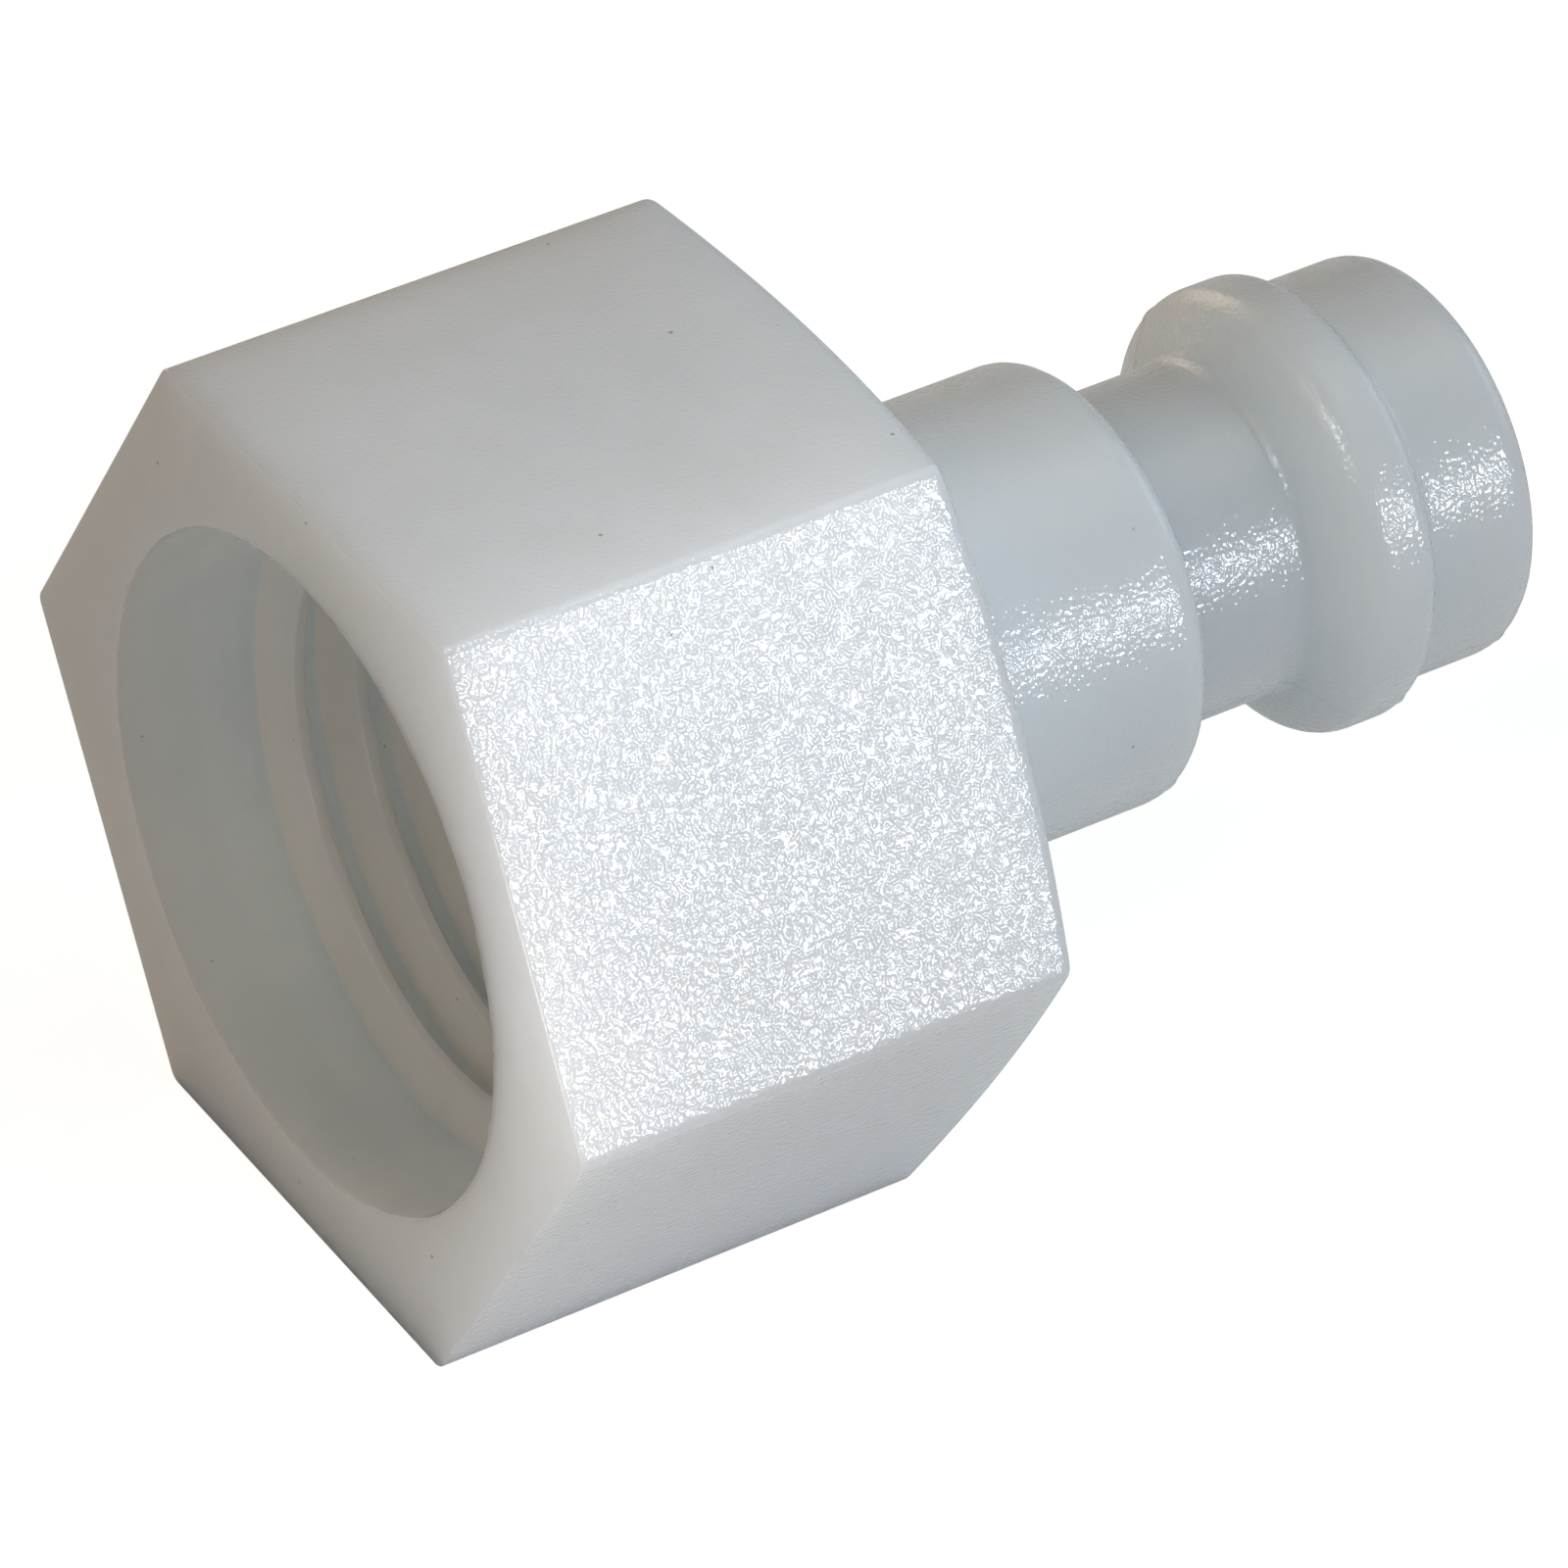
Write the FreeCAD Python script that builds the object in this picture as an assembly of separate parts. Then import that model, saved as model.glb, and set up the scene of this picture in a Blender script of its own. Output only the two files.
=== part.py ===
import FreeCAD, Part
import math
import os

# Quick coupler plug: a small tubing fitting, moulded in one piece from natural polypropylene.
# A hexagon for a spanner carries a female pipe thread at its open end. The other end is a
# round stub whose groove and bead latch in a quick coupler's socket, and liquid or air runs
# through the middle.
# The piece is first built standing on its open mouth, with its axis along +Z, and then laid
# down on one flat of the hexagon, with the stub pointing along +X. All sizes are in millimetres
# and all angles in degrees.

# Hexagon
HEX_SIDES = 6
ACROSS_FLATS = 17.0
HEX_LENGTH = 11.13
LONG_EDGE_RADIUS = 0.27
CHAMFER_START_DIAMETER = 14.5
CHAMFER_ANGLE = 12.9

# Stub, from the hexagon to the nose
COLLAR_DIAMETER = 8.95
COLLAR_LENGTH = 6.3
COLLAR_EDGE_RADIUS = 0.62
GROOVE_DIAMETER = 6.77
GROOVE_LENGTH = 2.91
BEAD_DIAMETER = 9.06
BEAD_FOOT_RADIUS = 0.34
BEAD_FRONT_RUN = 0.93
BEAD_FRONT_RADIUS = 0.65
BEAD_LENGTH = 1.11
BEAD_REAR_RADIUS = 0.33
BEAD_REAR_RUN = 0.35
NOSE_DIAMETER = 8.2
NOSE_LENGTH = 2.58
NOSE_EDGE_RADIUS = 0.58

# Mouth and thread: a G 1/4 pipe thread, right-handed, with a 55 degree section
MOUTH_DIAMETER = 13.5
MOUTH_DEPTH = 2.0
THREAD_DIAMETER = 13.157
THREAD_PITCH = 1.337
THREAD_ANGLE = 55.0
THREAD_HEIGHT = 0.856
THREAD_START_DEPTH = 2.17
THREAD_START_ANGLE = -170.0
THREAD_END_DEPTH = 8.2

# Below the thread
PILOT_DIAMETER = 11.1
PILOT_LENGTH = 1.4
FLOW_DIAMETER = 5.0
FLOW_EDGE_CHAMFER = 0.25

# A cutter runs past the face that it opens by this much
OVERRUN = 1.0
# A rounded corner of a turned outline is split into arcs that turn no further than this
MOST_TURN = 55.0

CREST_DIAMETER = THREAD_DIAMETER - 2 * THREAD_HEIGHT
PILOT_DEPTH = THREAD_END_DEPTH + PILOT_LENGTH
STUB_LENGTH = COLLAR_LENGTH + GROOVE_LENGTH + BEAD_FRONT_RUN + BEAD_LENGTH + BEAD_REAR_RUN + NOSE_LENGTH
TOTAL_LENGTH = HEX_LENGTH + STUB_LENGTH


def corner_arcs(before, corner, after, radius):
    """The arcs that round one corner of an outline, each turning by MOST_TURN or less."""
    into = (before - corner).normalize()
    out = (after - corner).normalize()
    half = into.getAngle(out) / 2
    centre = corner + (into + out).normalize() * (radius / math.sin(half))
    start = corner + into * (radius / math.tan(half)) - centre
    side = (corner - centre).normalize() * radius
    along = (side - start * (side.dot(start) / radius ** 2)).normalize() * radius
    turn = math.pi - 2 * half
    count = math.ceil(turn / math.radians(MOST_TURN))
    on_arc = [
        centre + start * math.cos(turn * step / (2 * count)) + along * math.sin(turn * step / (2 * count))
        for step in range(2 * count + 1)
    ]
    return [Part.Arc(*on_arc[2 * index:2 * index + 3]) for index in range(count)]


def turned(outline):
    """The solid turned from an outline of (radius, height, corner radius) points about the Z axis."""
    points = [FreeCAD.Vector(radius, 0, height) for radius, height, _ in outline]
    edges = []
    last = points[0]
    for index in range(1, len(points) - 1):
        rounding = outline[index][2]
        if rounding:
            arcs = corner_arcs(points[index - 1], points[index], points[index + 1], rounding)
            edges.append(Part.LineSegment(last, arcs[0].StartPoint).toShape())
            edges += [arc.toShape() for arc in arcs]
            last = arcs[-1].EndPoint
        else:
            edges.append(Part.LineSegment(last, points[index]).toShape())
            last = points[index]
    edges += [Part.LineSegment(last, points[-1]).toShape(), Part.LineSegment(points[-1], points[0]).toShape()]
    face = Part.Face(Part.Wire(edges))
    return face.revolve(FreeCAD.Vector(0, 0, 0), FreeCAD.Vector(0, 0, 1), 360)


def is_upright(edge):
    """Whether an edge runs along the axis."""
    first, last = edge.Vertexes[0].Point, edge.Vertexes[-1].Point
    return abs(first.x - last.x) < 1e-6 and abs(first.y - last.y) < 1e-6


def hexagon():
    """The spanner hexagon, with rounded long edges and a turned chamfer behind."""
    corner_radius = ACROSS_FLATS / 2 / math.cos(math.pi / HEX_SIDES)
    corners = [
        FreeCAD.Vector(corner_radius * math.cos(turn), corner_radius * math.sin(turn), 0)
        for turn in (2 * math.pi * side / HEX_SIDES for side in range(HEX_SIDES + 1))
    ]
    bar = Part.Face(Part.makePolygon(corners)).extrude(FreeCAD.Vector(0, 0, HEX_LENGTH))
    bar = bar.makeFillet(LONG_EDGE_RADIUS, [edge for edge in bar.Edges if is_upright(edge)])
    start = CHAMFER_START_DIAMETER / 2
    reach = corner_radius + OVERRUN
    drop = (reach - start) * math.tan(math.radians(CHAMFER_ANGLE))
    envelope = turned([
        (0, -OVERRUN, 0),
        (reach, -OVERRUN, 0),
        (reach, HEX_LENGTH - drop, 0),
        (start, HEX_LENGTH, 0),
        (0, HEX_LENGTH, 0),
    ])
    return bar.common(envelope)


def stub():
    """The round stub: collar, groove, bead and nose, turned from one outline."""
    collar_end = HEX_LENGTH + COLLAR_LENGTH
    bead_foot = collar_end + GROOVE_LENGTH
    bead_front = bead_foot + BEAD_FRONT_RUN
    bead_rear = bead_front + BEAD_LENGTH
    nose_root = bead_rear + BEAD_REAR_RUN
    return turned([
        (0, HEX_LENGTH / 2, 0),
        (COLLAR_DIAMETER / 2, HEX_LENGTH / 2, 0),
        (COLLAR_DIAMETER / 2, collar_end, COLLAR_EDGE_RADIUS),
        (GROOVE_DIAMETER / 2, collar_end, 0),
        (GROOVE_DIAMETER / 2, bead_foot, BEAD_FOOT_RADIUS),
        (BEAD_DIAMETER / 2, bead_front, BEAD_FRONT_RADIUS),
        (BEAD_DIAMETER / 2, bead_rear, BEAD_REAR_RADIUS),
        (NOSE_DIAMETER / 2, nose_root, 0),
        (NOSE_DIAMETER / 2, TOTAL_LENGTH, NOSE_EDGE_RADIUS),
        (0, TOTAL_LENGTH, 0),
    ])


def thread_ridge():
    """The helical ridge of the thread, from its start to past the thread's end.

    Its section is a trapezoid that is cut off at the crest by the crest bore, so it reaches
    a little further in than the crest, and a little further out than the root.
    """
    slope = math.tan(math.radians(THREAD_ANGLE / 2))
    root_radius = THREAD_DIAMETER / 2
    root_width = THREAD_PITCH * (1 - 1 / 6)
    spare = THREAD_HEIGHT / 10
    inner = root_radius - THREAD_HEIGHT - spare
    outer = root_radius + spare
    height = THREAD_END_DEPTH - THREAD_START_DEPTH + THREAD_PITCH
    path = Part.makeLongHelix(THREAD_PITCH, height, root_radius, 0, False)
    section = Part.makePolygon([
        FreeCAD.Vector(outer, 0, -spare * slope),
        FreeCAD.Vector(inner, 0, (THREAD_HEIGHT + spare) * slope),
        FreeCAD.Vector(inner, 0, root_width - (THREAD_HEIGHT + spare) * slope),
        FreeCAD.Vector(outer, 0, root_width + spare * slope),
        FreeCAD.Vector(outer, 0, -spare * slope),
    ])
    ridge = Part.Wire(path).makePipeShell([section], True, True)
    ridge.rotate(FreeCAD.Vector(0, 0, 0), FreeCAD.Vector(0, 0, 1), THREAD_START_ANGLE)
    ridge.translate(FreeCAD.Vector(0, 0, THREAD_START_DEPTH))
    return ridge


def hollow():
    """Everything that is open inside: mouth, threaded hole, pilot bore and flow passage."""
    mouth = Part.makeCylinder(MOUTH_DIAMETER / 2, MOUTH_DEPTH + OVERRUN, FreeCAD.Vector(0, 0, -OVERRUN))
    threaded = Part.makeCylinder(
        THREAD_DIAMETER / 2, THREAD_END_DEPTH - MOUTH_DEPTH + OVERRUN, FreeCAD.Vector(0, 0, MOUTH_DEPTH - OVERRUN)
    ).cut(thread_ridge())
    crest_bore = Part.makeCylinder(CREST_DIAMETER / 2, THREAD_END_DEPTH)
    pilot = turned([
        (0, 0, 0),
        (PILOT_DIAMETER / 2, 0, 0),
        (PILOT_DIAMETER / 2, PILOT_DEPTH, 0),
        (FLOW_DIAMETER / 2, PILOT_DEPTH, 0),
        (FLOW_DIAMETER / 2, TOTAL_LENGTH - FLOW_EDGE_CHAMFER, 0),
        (FLOW_DIAMETER / 2 + FLOW_EDGE_CHAMFER + OVERRUN, TOTAL_LENGTH + OVERRUN, 0),
        (0, TOTAL_LENGTH + OVERRUN, 0),
    ])
    return mouth.fuse([threaded, crest_bore, pilot])


def laid_down(shape):
    """Turn the axis from +Z to +X, set one flat on the ground and the middle of the length over the origin."""
    shape.rotate(FreeCAD.Vector(0, 0, 0), FreeCAD.Vector(1, 1, 1), 120)
    shape.translate(FreeCAD.Vector(-TOTAL_LENGTH / 2, 0, ACROSS_FLATS / 2))
    return shape


def main():
    os.makedirs("parts", exist_ok=True)
    plug_body = laid_down(hexagon().fuse(stub()).cut(hollow()))
    box = plug_body.BoundBox
    print("plug_body valid", plug_body.isValid(), "solids", len(plug_body.Solids))
    print("size", round(box.XLength, 3), round(box.YLength, 3), round(box.ZLength, 3))
    print("volume", round(plug_body.Volume, 2), "mm3")
    plug_body.exportStep("parts/plug_body.step")


main()
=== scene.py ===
import math

import bpy
from mathutils import Euler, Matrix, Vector, noise


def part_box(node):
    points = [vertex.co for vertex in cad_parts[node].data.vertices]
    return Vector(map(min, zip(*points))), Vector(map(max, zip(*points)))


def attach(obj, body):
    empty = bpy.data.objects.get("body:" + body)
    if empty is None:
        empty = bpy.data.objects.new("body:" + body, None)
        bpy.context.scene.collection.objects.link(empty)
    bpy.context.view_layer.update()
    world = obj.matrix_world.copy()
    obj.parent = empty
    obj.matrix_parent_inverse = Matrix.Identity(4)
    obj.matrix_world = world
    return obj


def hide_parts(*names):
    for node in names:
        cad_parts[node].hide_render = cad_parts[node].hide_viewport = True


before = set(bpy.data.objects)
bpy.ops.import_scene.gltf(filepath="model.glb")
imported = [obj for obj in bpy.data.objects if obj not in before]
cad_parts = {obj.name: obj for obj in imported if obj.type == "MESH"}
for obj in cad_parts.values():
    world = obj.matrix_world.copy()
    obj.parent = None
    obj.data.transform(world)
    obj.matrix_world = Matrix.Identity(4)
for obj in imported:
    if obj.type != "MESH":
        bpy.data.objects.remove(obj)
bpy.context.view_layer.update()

# Plug body: hexagon, collar, groove, bead and nose are one injection moulding in natural
# polypropylene. The hexagon and the stub come out of a spark-eroded mould, so they have a fine
# grain, and the bore is smooth. All sizes are in metres, and depths are measured from the mouth.
low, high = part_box("plug_body")
LENGTH = high[0] - low[0]
HALF_ACROSS_FLATS = (high[2] - low[2]) / 2
AXIS_HEIGHT = (high[2] + low[2]) / 2
HEX_LENGTH = 0.01113
HALF_SECTOR = math.pi / 6
LONG_EDGE_RADIUS = 0.00027
LONG_EDGE_CENTRE = (HALF_ACROSS_FLATS - LONG_EDGE_RADIUS) / math.cos(HALF_SECTOR)
FRONT_EDGE_RADIUS = 0.00006
REAR_EDGE_RADIUS = 0.0003
CHAMFER_START_RADIUS = 0.00725
CHAMFER_SLOPE = math.tan(math.radians(12.9))
CHAMFER_LIFT = 0.00004
COLLAR_RADIUS = 0.004475
COLLAR_END = 0.01743
COLLAR_EDGE_RADIUS = 0.00062
COLLAR_ROOT_RADIUS = 0.00012
GROOVE_RADIUS = 0.003385
GROOVE_CORNER_RADIUS = 0.0003
BEAD_RADIUS = 0.00453
BEAD_FOOT = 0.02034
BEAD_FOOT_RADIUS = 0.00034
BEAD_FRONT = 0.02127
BEAD_FRONT_RADIUS = 0.00065
BEAD_REAR = 0.02238
BEAD_REAR_RADIUS = 0.00033
NOSE_ROOT = 0.02273
NOSE_ROOT_RADIUS = 0.00017
NOSE_RADIUS = 0.0041
NOSE_EDGE_RADIUS = 0.00058
PARTING_TURN = math.radians(-147.3)
PARTING_HEIGHT = 0.00003
PARTING_HALF_WIDTH = 0.00005
PARTING_STEPS = 3
PARTING_REACH = 1.5
PARTING_CLEARANCE = 1.8
MOUTH_RADIUS = 0.00675
BURR_HEIGHT = 0.00004
BURR_USUAL = 0.6
BURR_LEAST = 0.2
BURR_SHOULDER = 0.7
BURR_WIDTH = 0.00008
BURR_OVERHANG = 0.00003
MOUTH_DEPTH = 0.002
MOUTH_STEP_RUN = 0.0009
MOUTH_STEP_RADIUS = 0.0015
THREAD_ROOT_RADIUS = 0.0065785
THREAD_END = 0.0082
PILOT_RADIUS = 0.00555
PILOT_DEPTH = 0.0096
FLOW_RADIUS = 0.0025
FLOW_EDGE_RADIUS = 0.0002
FINE_EDGE_RADIUS = 0.00004
SUPPORT = 0.00004
ARC_STEPS = 6
EDGE_STEPS = 5
FLAT_STEPS = 16


def hexagon_radius(turn):
    """The distance from the axis to the rounded hexagon, whose corners stand at every 60 degrees."""
    off_corner = abs((turn + HALF_SECTOR) % (2 * HALF_SECTOR) - HALF_SECTOR)
    off_flat = HALF_SECTOR - off_corner
    if off_flat < math.atan2(LONG_EDGE_CENTRE / 2, HALF_ACROSS_FLATS):
        return HALF_ACROSS_FLATS / math.cos(off_flat)
    across = LONG_EDGE_CENTRE * math.sin(off_corner)
    return LONG_EDGE_CENTRE * math.cos(off_corner) + math.sqrt(LONG_EDGE_RADIUS ** 2 - across ** 2)


def ring_turns():
    """The angles of the sections around the axis, closer together at the long edges and parting lines."""
    to_flat = []
    for step in range(EDGE_STEPS + 1):
        bend = HALF_SECTOR * step / EDGE_STEPS
        across = LONG_EDGE_RADIUS * math.sin(bend)
        to_flat.append(math.atan2(across, LONG_EDGE_CENTRE + LONG_EDGE_RADIUS * math.cos(bend)))
    flat_start = LONG_EDGE_CENTRE / 2 - SUPPORT
    for step in range(FLAT_STEPS + 1):
        across = flat_start * (1 - step / FLAT_STEPS)
        to_flat.append(HALF_SECTOR - math.atan2(across, HALF_ACROSS_FLATS))
    sector = to_flat + [2 * HALF_SECTOR - turn for turn in reversed(to_flat[1:-1])]
    even = [side * 2 * HALF_SECTOR + turn for side in range(6) for turn in sector]
    lines = [(PARTING_TURN + side * math.pi) % (2 * math.pi) for side in range(2)]
    half_line = PARTING_HALF_WIDTH / GROOVE_RADIUS
    stride = PARTING_REACH * half_line / PARTING_STEPS
    fine = [line + stride * step for line in lines for step in range(-PARTING_STEPS, PARTING_STEPS + 1)]
    clearance = PARTING_CLEARANCE * half_line
    return sorted(fine + [turn for turn in even if all(abs(turn - line) > clearance for line in lines)])


def parting_lift(turn):
    """How far the parting line of the stub's mould stands out at one angle."""
    off_line = abs((turn - PARTING_TURN + math.pi / 2) % math.pi - math.pi / 2)
    across = off_line * GROOVE_RADIUS / PARTING_HALF_WIDTH
    return PARTING_HEIGHT * max(0, 1 - across ** 2)


def uneven(turn, coarse, fine, layer):
    """A random value that changes smoothly around the mouth, in coarse waves with finer ones on them."""
    around = Vector((math.cos(turn), math.sin(turn), 0))
    return noise.noise(around * coarse + Vector((0, 0, layer))) + noise.noise(around * fine) / 2


def mouth_burr(turn):
    """The burr on the mouth's edge at one angle, as corners from the edge to the front face."""
    rise = BURR_HEIGHT * max(BURR_LEAST, BURR_USUAL + uneven(turn, 3, 21, 0))
    lean = BURR_OVERHANG * uneven(turn, 5, 30, 7)
    return [
        (-rise / 2, MOUTH_RADIUS - lean, 0),
        (-rise, MOUTH_RADIUS - lean + BURR_WIDTH / 4, 0),
        (-rise * BURR_SHOULDER, MOUTH_RADIUS + BURR_WIDTH / 2, 0),
        (0, MOUTH_RADIUS + BURR_WIDTH, 0),
        (0, MOUTH_RADIUS + BURR_WIDTH + SUPPORT, 0),
    ]


def rounded(corners):
    """The closed outline through (depth, radius, rounding) corners, with arcs and their support points."""
    points = []
    for index, (depth, radius, rounding) in enumerate(corners):
        corner = Vector((depth, radius))
        if rounding == 0:
            points.append(corner)
            continue
        before = Vector(corners[index - 1][:2]) - corner
        after = Vector(corners[(index + 1) % len(corners)][:2]) - corner
        before.normalize()
        after.normalize()
        half = before.angle(after) / 2
        reach = rounding / math.tan(half)
        centre = corner + (before + after).normalized() * (rounding / math.sin(half))
        start = corner + before * reach - centre
        end = corner + after * reach - centre
        bend = math.pi - 2 * half
        points.append(corner + before * (reach + SUPPORT))
        for step in range(ARC_STEPS + 1):
            part = step / ARC_STEPS
            arm = start * math.sin((1 - part) * bend) + end * math.sin(part * bend)
            points.append(centre + arm / math.sin(bend))
        points.append(corner + after * (reach + SUPPORT))
    return points


def section(turn):
    """The outline of the wall in the half plane at one angle, from the mouth's edge around to it again."""
    flank = hexagon_radius(turn)
    chamfer_foot = HEX_LENGTH + CHAMFER_LIFT - (flank - CHAMFER_START_RADIUS) * CHAMFER_SLOPE
    lift = parting_lift(turn)
    return rounded([
        *mouth_burr(turn),
        (0, flank, FRONT_EDGE_RADIUS),
        (chamfer_foot, flank, REAR_EDGE_RADIUS),
        (HEX_LENGTH, CHAMFER_START_RADIUS, 0),
        (HEX_LENGTH, COLLAR_RADIUS + lift, COLLAR_ROOT_RADIUS),
        (COLLAR_END, COLLAR_RADIUS + lift, COLLAR_EDGE_RADIUS),
        (COLLAR_END, GROOVE_RADIUS + lift, GROOVE_CORNER_RADIUS),
        (BEAD_FOOT, GROOVE_RADIUS + lift, BEAD_FOOT_RADIUS),
        (BEAD_FRONT, BEAD_RADIUS + lift, BEAD_FRONT_RADIUS),
        (BEAD_REAR, BEAD_RADIUS + lift, BEAD_REAR_RADIUS),
        (NOSE_ROOT, NOSE_RADIUS + lift, NOSE_ROOT_RADIUS),
        (LENGTH, NOSE_RADIUS + lift, NOSE_EDGE_RADIUS),
        (LENGTH, FLOW_RADIUS, FLOW_EDGE_RADIUS),
        (PILOT_DEPTH, FLOW_RADIUS, FLOW_EDGE_RADIUS),
        (PILOT_DEPTH, PILOT_RADIUS, FINE_EDGE_RADIUS),
        (THREAD_END, PILOT_RADIUS, FINE_EDGE_RADIUS),
        (THREAD_END, THREAD_ROOT_RADIUS, 0),
        (MOUTH_DEPTH + MOUTH_STEP_RUN / 2, THREAD_ROOT_RADIUS, MOUTH_STEP_RADIUS),
        (MOUTH_DEPTH - MOUTH_STEP_RUN / 2, MOUTH_RADIUS, MOUTH_STEP_RADIUS),
    ])


def placed(depth, radius, turn):
    """The point at a depth, a distance from the axis and an angle from +Y towards +Z."""
    return (low[0] + depth, radius * math.cos(turn), AXIS_HEIGHT + radius * math.sin(turn))


turns = ring_turns()
sections = [section(turn) for turn in turns]
row_count = len(sections[0])
body_points = [placed(point.x, point.y, turn) for turn, outline in zip(turns, sections) for point in outline]
body_faces = []
for ring in range(len(turns)):
    here = ring * row_count
    there = (ring + 1) % len(turns) * row_count
    for row in range(row_count):
        following = (row + 1) % row_count
        body_faces.append((here + row, there + row, there + following, here + following))
body_mesh = bpy.data.meshes.new("plug_moulding")
body_mesh.from_pydata(body_points, [], body_faces)
body_mesh.validate()
plug = bpy.data.objects.new("plug_moulding", body_mesh)
bpy.context.scene.collection.objects.link(plug)

PLASTIC_COLOUR = (0.92, 0.92, 0.92, 1)
# Painted light and shade: the bore's, stub's and ridge's colours below stand partly for cool shade, cool
# light and warm light.
BORE_TONE_AND_PAINTED_SHADE = (0.83, 0.91, 0.95, 1)
STUB_TONE_AND_PAINTED_LIGHT = (0.89, 0.98, 1, 1)
RIDGE_PAINTED_WARM_LIGHT = (0.93, 0.91, 0.88, 1)
CLOUD_SHADE = (0.95, 0.95, 0.94, 1)
CLOUDS_PER_METRE = 420
DUST_COLOUR = (0.45, 0.4, 0.33, 1)
DUST_PER_METRE = 800
GRAINS_PER_METRE = 11000
GRAIN_DEPTH = 0.00002
REFRACTION = 1.49
SCATTER_LENGTH = 0.004
FRONT_MARGIN = 0.00003
MOUTH_MARGIN = 0.00012
RIDGE_MARGIN = 0.00006
PASSAGE_MARGIN = 0.0003
natural_plastic = bpy.data.materials.new("natural_polypropylene")
natural_plastic.use_nodes = True
plastic = natural_plastic.node_tree
skin = plastic.nodes["Principled BSDF"]
skin.subsurface_method = "RANDOM_WALK"
skin.inputs["Roughness"].default_value = 0.4
skin.inputs["IOR"].default_value = REFRACTION
skin.inputs["Specular IOR Level"].default_value = 0.2
skin.inputs["Coat Weight"].default_value = 1.0
skin.inputs["Coat Roughness"].default_value = 0.13
skin.inputs["Coat IOR"].default_value = REFRACTION
skin.inputs["Subsurface Weight"].default_value = 1.0
skin.inputs["Subsurface Radius"].default_value = (1.0, 0.9, 0.8)
skin.inputs["Subsurface Scale"].default_value = SCATTER_LENGTH
coordinates = plastic.nodes.new("ShaderNodeTexCoord")


def plastic_math(operation, first, second):
    """A math node of the plastic, whose inputs are sockets or numbers."""
    node = plastic.nodes.new("ShaderNodeMath")
    node.operation = operation
    for index, value in enumerate((first, second)):
        if isinstance(value, (int, float)):
            node.inputs[index].default_value = value
        else:
            plastic.links.new(value, node.inputs[index])
    return node.outputs["Value"]


# The grain covers what the mould's eroded faces formed: the outside, but not the front face or
# the bore. It lies in the clear outer layer, so it glints over the smooth milky plastic.
along = plastic.nodes.new("ShaderNodeSeparateXYZ")
plastic.links.new(coordinates.outputs["Object"], along.inputs["Vector"])
to_axis = plastic.nodes.new("ShaderNodeMapping")
to_axis.inputs["Location"].default_value = (0, 0, -AXIS_HEIGHT)
to_axis.inputs["Scale"].default_value = (0, 1, 1)
plastic.links.new(coordinates.outputs["Object"], to_axis.inputs["Vector"])
off_axis = plastic.nodes.new("ShaderNodeVectorMath")
off_axis.operation = "LENGTH"
plastic.links.new(to_axis.outputs["Vector"], off_axis.inputs[0])
on_hexagon = plastic_math("GREATER_THAN", off_axis.outputs["Value"], MOUTH_RADIUS + MOUTH_MARGIN)
past_pilot = plastic_math("GREATER_THAN", along.outputs["X"], low[0] + PILOT_DEPTH + PASSAGE_MARGIN)
outside_passage = plastic_math("GREATER_THAN", off_axis.outputs["Value"], FLOW_RADIUS + PASSAGE_MARGIN)
on_stub = plastic_math("MULTIPLY", past_pilot, outside_passage)
behind_front = plastic_math("GREATER_THAN", along.outputs["X"], low[0] + FRONT_MARGIN)
grained = plastic_math("MULTIPLY", plastic_math("MAXIMUM", on_hexagon, on_stub), behind_front)
grain = plastic.nodes.new("ShaderNodeTexNoise")
grain.inputs["Scale"].default_value = GRAINS_PER_METRE
grain.inputs["Detail"].default_value = 0.0
relief = plastic.nodes.new("ShaderNodeBump")
relief.inputs["Distance"].default_value = GRAIN_DEPTH
plastic.links.new(coordinates.outputs["Object"], grain.inputs["Vector"])
plastic.links.new(grain.outputs["Fac"], relief.inputs["Height"])
plastic.links.new(grained, relief.inputs["Strength"])
plastic.links.new(relief.outputs["Normal"], skin.inputs["Coat Normal"])

# Thin walls are bluer than the thick hexagon, partly as milky plastic's tone and partly as painted cool
# light on the stub and painted cool shade in the bore; the ridge's warm tint is painted warm light.
before_passage = plastic_math("SUBTRACT", behind_front, past_pilot)
in_bore = plastic_math("MULTIPLY", before_passage, plastic_math("SUBTRACT", 1, on_hexagon))
on_ridge = plastic_math("LESS_THAN", off_axis.outputs["Value"], THREAD_ROOT_RADIUS - RIDGE_MARGIN)
past_hexagon = plastic_math("GREATER_THAN", along.outputs["X"], low[0] + HEX_LENGTH)


def plastic_mix(kind, factor, first, second):
    """A colour mix of the plastic, whose factor and colours are sockets or plain values."""
    node = plastic.nodes.new("ShaderNodeMixRGB")
    node.blend_type = kind
    for index, value in enumerate((factor, first, second)):
        if isinstance(value, bpy.types.NodeSocket):
            plastic.links.new(value, node.inputs[index])
        else:
            node.inputs[index].default_value = value
    return node.outputs["Color"]


# Painted light and shade: these mixes make the stub lighter and bluer, the bore's wall darker and cooler,
# and the thread's ridge warm.
wall_tone_and_painted_light = plastic_mix("MIX", past_hexagon, PLASTIC_COLOUR, STUB_TONE_AND_PAINTED_LIGHT)
wall_tone_and_painted_light = plastic_mix("MIX", in_bore, wall_tone_and_painted_light, BORE_TONE_AND_PAINTED_SHADE)
wall_tone_and_painted_light = plastic_mix("MIX", plastic_math("MULTIPLY", in_bore, on_ridge), wall_tone_and_painted_light, RIDGE_PAINTED_WARM_LIGHT)

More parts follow.
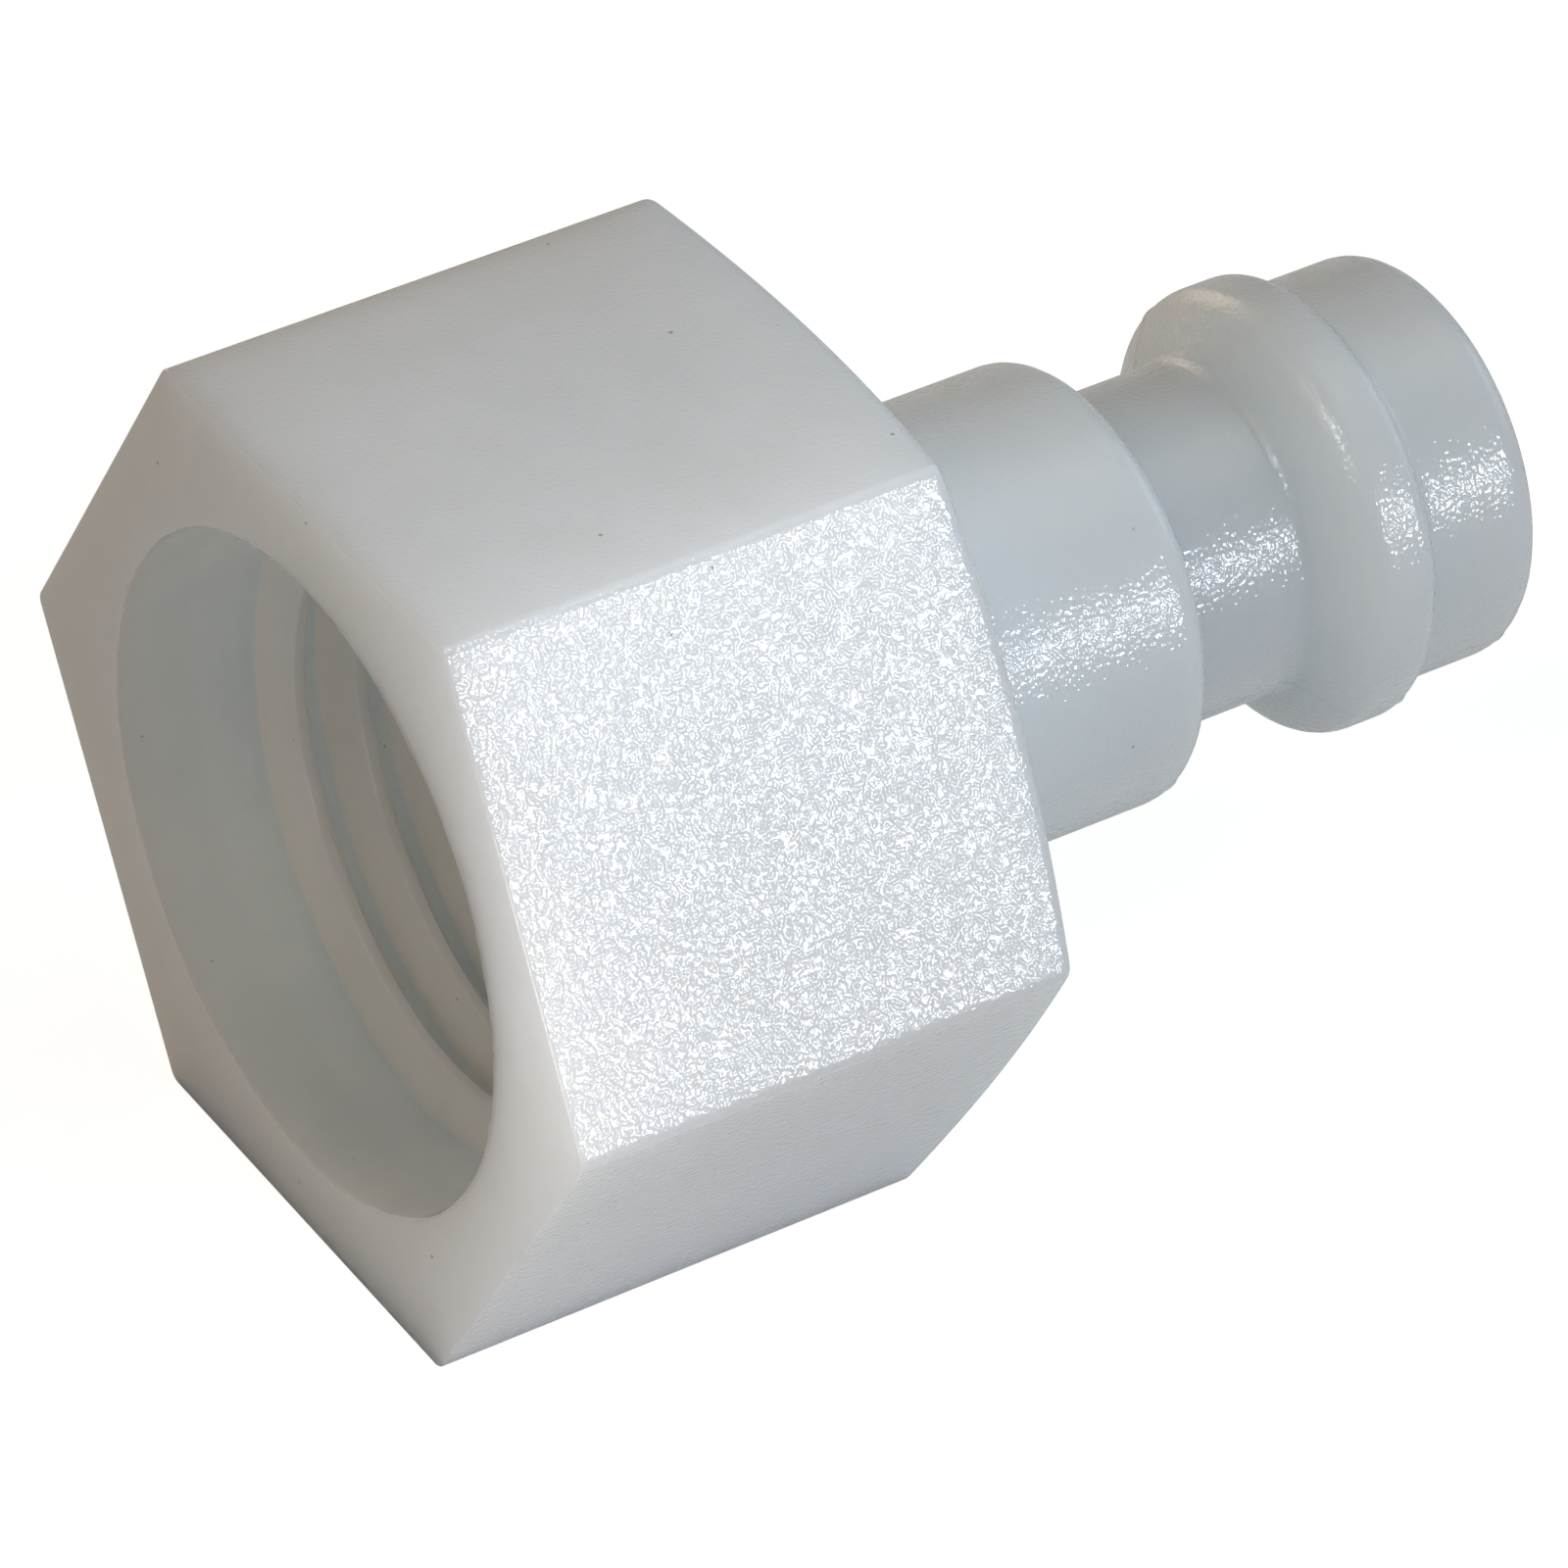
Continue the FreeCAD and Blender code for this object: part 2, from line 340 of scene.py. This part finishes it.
# Faint clouds where the melt flowed, and a few specks of dust that were moulded in.
clouds = plastic.nodes.new("ShaderNodeTexNoise")
clouds.inputs["Scale"].default_value = CLOUDS_PER_METRE
clouds.inputs["Detail"].default_value = 2.0
plastic.links.new(coordinates.outputs["Object"], clouds.inputs["Vector"])
cloud_ramp = plastic.nodes.new("ShaderNodeValToRGB")
cloud_ramp.color_ramp.elements[0].position = 0.35
cloud_ramp.color_ramp.elements[0].color = CLOUD_SHADE
cloud_ramp.color_ramp.elements[1].position = 0.65
plastic.links.new(clouds.outputs["Fac"], cloud_ramp.inputs["Fac"])
clouded = plastic_mix("MULTIPLY", 1.0, wall_tone_and_painted_light, cloud_ramp.outputs["Color"])
dust = plastic.nodes.new("ShaderNodeTexVoronoi")
dust.inputs["Scale"].default_value = DUST_PER_METRE
plastic.links.new(coordinates.outputs["Object"], dust.inputs["Vector"])
dust_ramp = plastic.nodes.new("ShaderNodeValToRGB")
dust_ramp.color_ramp.elements[0].position = 0.02
dust_ramp.color_ramp.elements[0].color = (1, 1, 1, 1)
dust_ramp.color_ramp.elements[1].position = 0.04
dust_ramp.color_ramp.elements[1].color = (0, 0, 0, 1)
plastic.links.new(dust.outputs["Distance"], dust_ramp.inputs["Fac"])
specked = plastic_mix("MIX", dust_ramp.outputs["Color"], clouded, DUST_COLOUR)
plastic.links.new(specked, skin.inputs["Base Color"])

# Thread: the helical ridge of a G 1/4 pipe thread stands on the wall of the bore. Its section
# is a 55 degree trapezoid swept along a helix, and it is moulded in one with the body.
THREAD_HEIGHT = 0.000856
THREAD_PITCH = 0.001337
THREAD_ROOT_WIDTH = THREAD_PITCH * 5 / 6
THREAD_START = 0.00217
THREAD_START_ANGLE = math.radians(-170)
THREAD_FLANK = math.tan(math.radians(27.5))
THREAD_EDGE_RADIUS = 0.00005
THREAD_SUNK = 0.00008
THREAD_STEPS = 120
RIDGE_TURN = math.radians(90)
SHARP_ANGLE = math.radians(35)
ridge_base = THREAD_HEIGHT + THREAD_SUNK
thread_inputs = {
    "Pitch": THREAD_PITCH,
    "Turns": (THREAD_END - THREAD_START) / THREAD_PITCH + 1,
    "Path Radius": THREAD_ROOT_RADIUS + THREAD_SUNK - ridge_base / 2,
    "Ridge Height": ridge_base,
    "Root Width": THREAD_ROOT_WIDTH + 2 * THREAD_SUNK * THREAD_FLANK,
    "Crest Width": THREAD_ROOT_WIDTH - 2 * THREAD_HEIGHT * THREAD_FLANK,
    "Edge Radius": THREAD_EDGE_RADIUS,
    "Start Depth": THREAD_START + THREAD_ROOT_WIDTH / 2,
    "Start Angle": THREAD_START_ANGLE,
}
thread_tree = bpy.data.node_groups.new("moulded_thread", "GeometryNodeTree")
thread_tree.interface.new_socket("Geometry", in_out="INPUT", socket_type="NodeSocketGeometry")
thread_tree.interface.new_socket("Geometry", in_out="OUTPUT", socket_type="NodeSocketGeometry")
for label in thread_inputs:
    thread_tree.interface.new_socket(label, in_out="INPUT", socket_type="NodeSocketFloat")
thread_tree.interface.new_socket("Place", in_out="INPUT", socket_type="NodeSocketVector")
thread_tree.interface.new_socket("Plastic", in_out="INPUT", socket_type="NodeSocketMaterial")


def thread_node(kind, **settings):
    """A new node of the thread's tree."""
    node = thread_tree.nodes.new("GeometryNode" + kind)
    for name, value in settings.items():
        setattr(node, name, value)
    return node


def thread_link(source, socket, target, name):
    """Join two sockets of the thread's tree, each found by its name."""
    thread_tree.links.new(source.outputs[socket], target.inputs[name])


given = thread_tree.nodes.new("NodeGroupInput")
made = thread_tree.nodes.new("NodeGroupOutput")
height = thread_tree.nodes.new("ShaderNodeMath")
height.operation = "MULTIPLY"
thread_tree.links.new(given.outputs["Pitch"], height.inputs[0])
thread_tree.links.new(given.outputs["Turns"], height.inputs[1])
helix = thread_node("CurveSpiral")
helix.inputs["Resolution"].default_value = THREAD_STEPS
helix.inputs["Reverse"].default_value = True
thread_link(given, "Turns", helix, "Rotations")
thread_link(given, "Path Radius", helix, "Start Radius")
thread_link(given, "Path Radius", helix, "End Radius")
thread_link(height, "Value", helix, "Height")
upright = thread_node("SetCurveNormal", mode="Z_UP")
thread_link(helix, "Curve", upright, "Curve")
ridge_section = thread_node("CurvePrimitiveQuadrilateral", mode="TRAPEZOID")
thread_link(given, "Ridge Height", ridge_section, "Height")
thread_link(given, "Root Width", ridge_section, "Bottom Width")
thread_link(given, "Crest Width", ridge_section, "Top Width")
ridge_section.inputs["Offset"].default_value = 0
soft_section = thread_node("FilletCurve", mode="POLY")
soft_section.inputs["Count"].default_value = 3
thread_link(ridge_section, "Curve", soft_section, "Curve")
thread_link(given, "Edge Radius", soft_section, "Radius")
quarter_turn = thread_node("Transform")
quarter_turn.inputs["Rotation"].default_value = (0, 0, RIDGE_TURN)
thread_link(soft_section, "Curve", quarter_turn, "Geometry")
ridge = thread_node("CurveToMesh")
ridge.inputs["Fill Caps"].default_value = True
thread_link(upright, "Curve", ridge, "Curve")
thread_link(quarter_turn, "Geometry", ridge, "Profile Curve")
start_turn = thread_tree.nodes.new("ShaderNodeCombineXYZ")
thread_link(given, "Start Angle", start_turn, "Z")
start_place = thread_tree.nodes.new("ShaderNodeCombineXYZ")
thread_link(given, "Start Depth", start_place, "Z")
started = thread_node("Transform")
thread_link(ridge, "Mesh", started, "Geometry")
thread_link(start_turn, "Vector", started, "Rotation")
thread_link(start_place, "Vector", started, "Translation")
laid = thread_node("Transform")
laid.inputs["Rotation"].default_value = (math.pi / 2, 0, math.pi / 2)
thread_link(started, "Geometry", laid, "Geometry")
thread_link(given, "Place", laid, "Translation")
joined = thread_node("MeshBoolean", operation="UNION", solver="EXACT")
thread_tree.links.new(given.outputs["Geometry"], joined.inputs["Mesh 2"])
thread_tree.links.new(laid.outputs["Geometry"], joined.inputs["Mesh 2"])
smooth = thread_node("SetShadeSmooth")
thread_link(joined, "Mesh", smooth, "Geometry")
realized = thread_node("RealizeInstances")
thread_link(smooth, "Geometry", realized, "Geometry")
finished = thread_node("SetMaterial")
thread_link(realized, "Geometry", finished, "Geometry")
thread_link(given, "Plastic", finished, "Material")
thread_link(finished, "Geometry", made, "Geometry")
moulding = plug.modifiers.new("thread", "NODES")
moulding.node_group = thread_tree
thread_items = thread_tree.interface.items_tree
thread_sockets = {item.name: item.identifier for item in thread_items if item.in_out == "INPUT"}
for label, value in thread_inputs.items():
    moulding[thread_sockets[label]] = value
moulding[thread_sockets["Place"]] = (low[0], 0.0, AXIS_HEIGHT)
moulding[thread_sockets["Plastic"]] = natural_plastic
threaded_mesh = bpy.data.meshes.new_from_object(plug.evaluated_get(bpy.context.evaluated_depsgraph_get()))
plug.modifiers.remove(moulding)
plug.data = threaded_mesh
plug.data.set_sharp_from_angle(angle=SHARP_ANGLE)
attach(plug, "root")
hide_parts("plug_body")

# Floor: a plain white sheet that the plug lies on. It shows white to the camera, and keeps
# a soft shadow under the plug.
FLOOR_REACH = 3.0
PAPER_COLOUR = (0.76, 0.76, 0.76, 1)
GLOW_COLOUR = (0.97, 0.985, 1, 1)
GLOW_STRENGTH = 0.805
MIRRORED_WHITE = 0.25
floor_mesh = bpy.data.meshes.new("floor_sheet")
floor_mesh.from_pydata(
    [(-FLOOR_REACH, -FLOOR_REACH, low[2]), (FLOOR_REACH, -FLOOR_REACH, low[2]),
     (FLOOR_REACH, FLOOR_REACH, low[2]), (-FLOOR_REACH, FLOOR_REACH, low[2])],
    [], [(0, 1, 2, 3)],
)
floor = bpy.data.objects.new("floor_sheet", floor_mesh)
bpy.context.scene.collection.objects.link(floor)
paper = bpy.data.materials.new("white_paper")
paper.use_nodes = True
sheet = paper.node_tree
sheet_skin = sheet.nodes["Principled BSDF"]
sheet_skin.inputs["Base Color"].default_value = PAPER_COLOUR
sheet_skin.inputs["Roughness"].default_value = 0.9
sheet_skin.inputs["Specular IOR Level"].default_value = 0.1


def seen_strength(tree, strength):
    """A strength that the camera sees in full and a mirror in part, and that lights nothing."""
    rays = tree.nodes.new("ShaderNodeLightPath")
    mirrored = tree.nodes.new("ShaderNodeMath")
    mirrored.operation = "MAXIMUM"
    tree.links.new(rays.outputs["Is Glossy Ray"], mirrored.inputs[0])
    tree.links.new(rays.outputs["Is Transmission Ray"], mirrored.inputs[1])
    shown = tree.nodes.new("ShaderNodeMath")
    shown.operation = "MULTIPLY_ADD"
    shown.inputs[1].default_value = MIRRORED_WHITE
    tree.links.new(mirrored.outputs["Value"], shown.inputs[0])
    tree.links.new(rays.outputs["Is Camera Ray"], shown.inputs[2])
    scaled = tree.nodes.new("ShaderNodeMath")
    scaled.operation = "MULTIPLY"
    scaled.inputs[1].default_value = strength
    tree.links.new(shown.outputs["Value"], scaled.inputs[0])
    return scaled.outputs["Value"]


paper.cycles.emission_sampling = "NONE"
glow = sheet.nodes.new("ShaderNodeEmission")
glow.inputs["Color"].default_value = GLOW_COLOUR
sheet.links.new(seen_strength(sheet, GLOW_STRENGTH), glow.inputs["Strength"])
both = sheet.nodes.new("ShaderNodeAddShader")
sheet.links.new(sheet_skin.outputs["BSDF"], both.inputs[0])
sheet.links.new(glow.outputs["Emission"], both.inputs[1])
sheet.links.new(both.outputs["Shader"], sheet.nodes["Material Output"].inputs["Surface"])
floor_mesh.materials.append(paper)

# Light: a soft box to the right glances off the grain of one flat. Warm boxes stand behind the
# plug and in front of it, a plain one above and a cool one past the nose, and two small ones
# near the mouth light its wall and the grained flat. The sky is pale, and lights nothing.
SKY_COLOUR = (0.8, 0.8, 0.8, 1)
FAR = 0.5
BROAD = 0.3
scene = bpy.context.scene
scene.view_settings.view_transform = "Standard"
sky = bpy.data.worlds.new("studio")
scene.world = sky
sky.use_nodes = True
sky.cycles.sampling_method = "NONE"
pale_sky = sky.node_tree.nodes["Background"]
pale_sky.inputs["Color"].default_value = SKY_COLOUR
sky.node_tree.links.new(seen_strength(sky.node_tree, 1.0), pale_sky.inputs["Strength"])


def soft_box(name, direction, distance, size, power, tint):
    """A square lamp that faces the plug from a direction."""
    lamp = bpy.data.lights.new(name, "AREA")
    lamp.shape = "SQUARE"
    lamp.size = size
    lamp.energy = power
    lamp.color = tint
    holder = bpy.data.objects.new(name, lamp)
    away = Vector(direction).normalized()
    holder.location = Vector((0, 0, AXIS_HEIGHT)) + away * distance
    holder.rotation_euler = away.to_track_quat("Z", "Y").to_euler()
    holder.visible_camera = False
    scene.collection.objects.link(holder)


soft_box("key_box", (0.445, -0.858, 0.256), FAR, 0.09, 0.74, (0.87, 0.92, 1.0))
soft_box("left_box", (0.0, 1.0, 0.3), FAR, BROAD, 0.45, (1.0, 0.8, 0.6))
soft_box("top_box", (0.45, 0.0, 0.9), FAR, BROAD, 0.23, (0.96, 0.95, 0.92))
soft_box("rear_box", (1.0, 0.0, 0.4), FAR, BROAD, 0.36, (0.62, 0.85, 1.0))
soft_box("front_box", (-0.6, 0.0, 0.8), FAR, BROAD, 0.35, (1.0, 0.78, 0.52))
soft_box("mouth_fill", (-0.022, -0.014, 0.0035), 0.0263, 0.006, 0.00075, (1.0, 1.0, 1.0))
soft_box("flat_fill", (-0.008, -0.014, 0.0275), 0.0319, 0.01, 0.0022, (0.82, 0.91, 1.0))

# Camera: a long lens that looks down on the mouth and along the plug, as in the photograph.
camera_data = bpy.data.cameras.new("camera")
camera_data.lens = 253.75
camera_data.sensor_width = 36
camera_data.clip_start = 0.01
camera_data.clip_end = 20
camera = bpy.data.objects.new("camera", camera_data)
camera.location = (-0.09336, -0.13624, 0.1374)
camera.rotation_euler = Euler([math.radians(angle) for angle in (51.337, -1.330, -32.777)])
scene.collection.objects.link(camera)
scene.camera = camera
